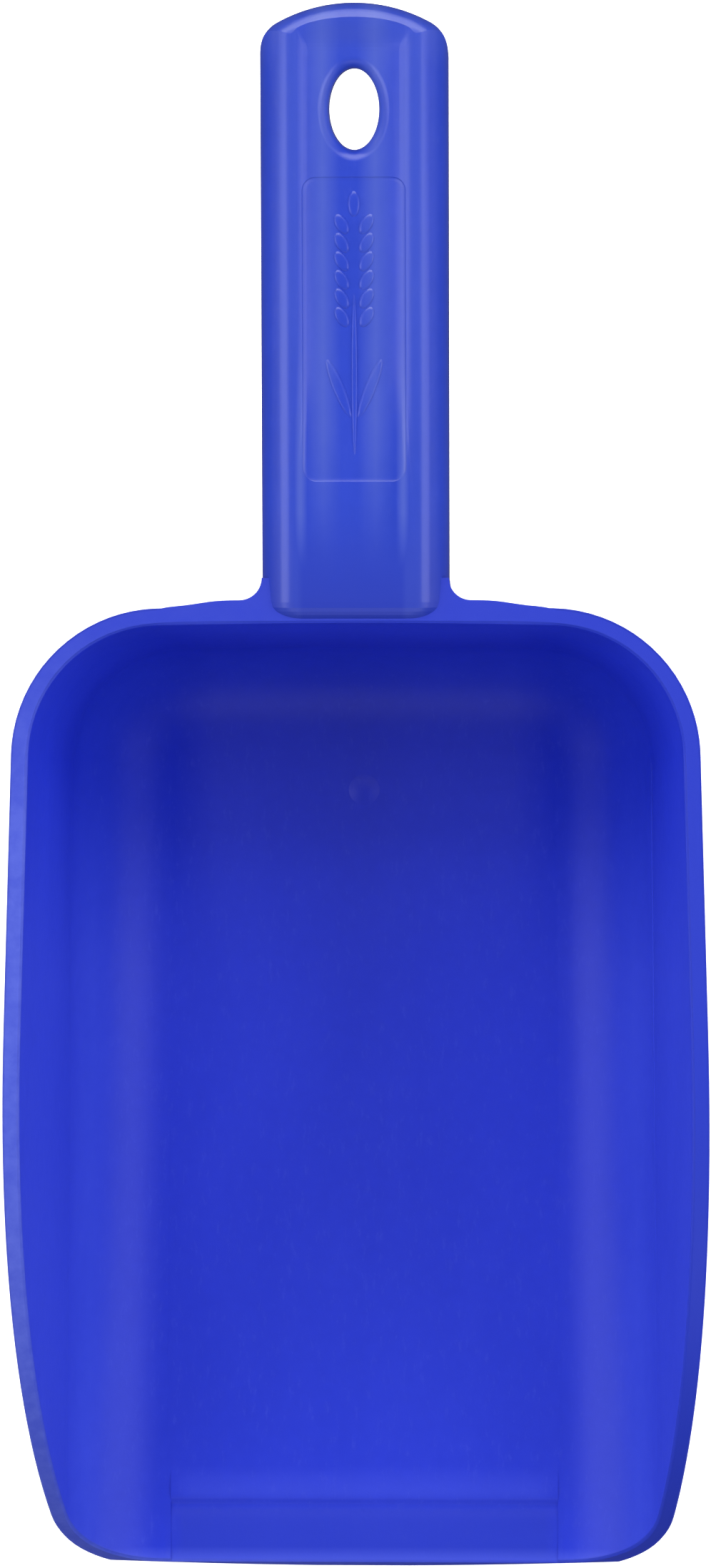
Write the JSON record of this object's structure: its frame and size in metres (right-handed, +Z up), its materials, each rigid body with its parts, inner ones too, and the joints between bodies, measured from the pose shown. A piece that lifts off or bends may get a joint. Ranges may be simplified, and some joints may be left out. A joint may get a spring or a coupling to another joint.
{
  "type": "feed scoop",
  "caption": "One-piece moulded plastic hand scoop: open square-backed bowl with a falling rim and thin front lip, ribbed channel handle with thumb groove and oval hang hole.",
  "frame": {"origin": "centre of the flat base the scoop stands on", "axes": "+Z up out of the open bowl, +Y toward the handle's free end, +X to the right seen from above with the handle away"},
  "size_m": [0.1272, 0.287, 0.0745],
  "materials": {
    "bowl_plastic": "royal blue polypropylene, fine satin mould texture",
    "handle_plastic": "royal blue polypropylene, smoother satin, lightly polished by hands"
  },
  "bodies": {
    "root": {"bowl_shell": "bowl_plastic", "front_lip": "bowl_plastic", "handle_yoke": "bowl_plastic", "handle_shell": "handle_plastic", "hang_eye": "handle_plastic", "label_panel": "handle_plastic", "handle_ribs": "handle_plastic"}
  },
  "joints": []
}
